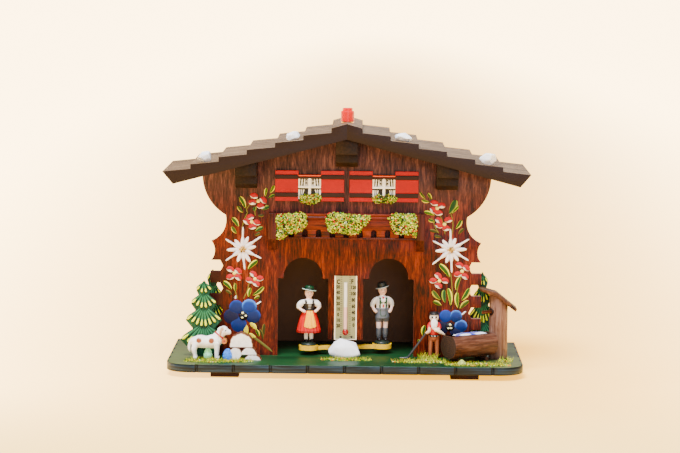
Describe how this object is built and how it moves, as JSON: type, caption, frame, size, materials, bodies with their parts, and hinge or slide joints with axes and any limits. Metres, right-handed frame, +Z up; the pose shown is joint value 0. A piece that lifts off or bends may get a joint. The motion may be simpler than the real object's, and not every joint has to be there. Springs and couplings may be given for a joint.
{
  "type": "weather house",
  "caption": "Wooden chalet weather house: fretwork front with doorways, shingled roof, thermometer, and a gut-hung beam that swings a woman or a man out with the weather.",
  "frame": {"origin": "middle of the underside, on the surface that the foot battens stand on", "axes": "+X to the viewer's right along the front, +Y to the back, +Z up"},
  "size_m": [0.2004, 0.096, 0.1444],
  "materials": {
    "wall_wood": "stained satin",
    "shell_wood": "stained satin",
    "roof_wood": "milled, matt",
    "purlin_wood": "stained matt",
    "base_wood": "painted matt",
    "batten_wood": "raw",
    "plain_wood": "raw",
    "balcony_wood": "stained satin",
    "shutter_paint": "painted gloss",
    "stripe_paint": "painted gloss",
    "pane": "gloss",
    "window_paint": "matt",
    "moss": "flock",
    "scale_plate": "satin",
    "tube_glass": "clear",
    "spirit": "gloss",
    "white_stone": "rough",
    "fir_paint": "painted gloss",
    "dog_paint": "painted gloss",
    "keg_paint": "painted gloss",
    "split_wood": "painted",
    "log_wood": "bark, matt",
    "post_wood": "bark, matt",
    "bark_board": "matt",
    "water_paint": "gloss",
    "figure_paint": "painted gloss",
    "iron": "matt",
    "beam_paint": "painted gloss",
    "chimney_paint": "gloss",
    "brass": "satin",
    "steel": "satin",
    "gut": "satin"
  },
  "bodies": {
    "house": {"base_plate": "base_wood", "foot_batten_left": "batten_wood", "foot_batten_right": "batten_wood", "front_wall": "wall_wood", "side_wall_left": "shell_wood", "side_wall_right": "shell_wood", "back_wall": "shell_wood", "roof_left": "roof_wood", "roof_right": "roof_wood", "ridge_purlin": "purlin_wood", "purlin_left": "purlin_wood", "purlin_right": "purlin_wood", "ridge_corbel": "purlin_wood", "corbel_left": "purlin_wood", "corbel_right": "purlin_wood", "ridge_block": "plain_wood", "ridge_bush": "brass", "roof_stones": "white_stone", "window_panes": "pane", "window_frames": "window_paint", "shutters_left": "shutter_paint", "shutters_right": "shutter_paint", "shutter_battens": "stripe_paint", "window_moss": "moss", "balcony_floor": "balcony_wood", "balcony_board": "balcony_wood", "balcony_rail": "balcony_wood", "balcony_post_left": "balcony_wood", "balcony_post_right": "balcony_wood", "balcony_moss_left": "moss", "balcony_moss_middle": "moss", "balcony_moss_right": "moss", "thermometer_plate": "scale_plate", "thermometer_tube": "tube_glass", "thermometer_spirit": "spirit", "doorstep_stone": "white_stone", "grass": "moss", "fir_front": "fir_paint", "fir_back_left": "fir_paint", "fir_back_right": "fir_paint", "dog": "dog_paint", "dog_barrel": "keg_paint", "woodpile": "split_wood", "trough_log": "log_wood", "trough_water": "water_paint", "trough_bearers": "log_wood", "well_post": "post_wood", "well_spout": "bark_board", "well_roof": "bark_board", "farmer": "figure_paint", "farmer_hoe": "iron"},
    "knob": {"chimney_knob": "chimney_paint", "knob_stem": "steel", "stem_collar": "brass", "gut_strand": "gut"},
    "beam": {"figure_beam": "beam_paint", "beam_spindle": "steel", "woman": "figure_paint", "man": "figure_paint"}
  },
  "joints": [
    {"name": "chimney_turn", "type": "hinge", "parent": "house", "child": "knob", "pos_m": [0, -0.004, 0.13], "axis": [0, 0, 1], "range_deg": [-18, 18]},
    {"name": "gut_twist", "type": "hinge", "parent": "knob", "child": "beam", "pos_m": [0, -0.004, 0.012], "axis": [0, 0, 1], "range_deg": [-36, 12], "stiffness_Nm_per_rad": 0.0001}
  ]
}
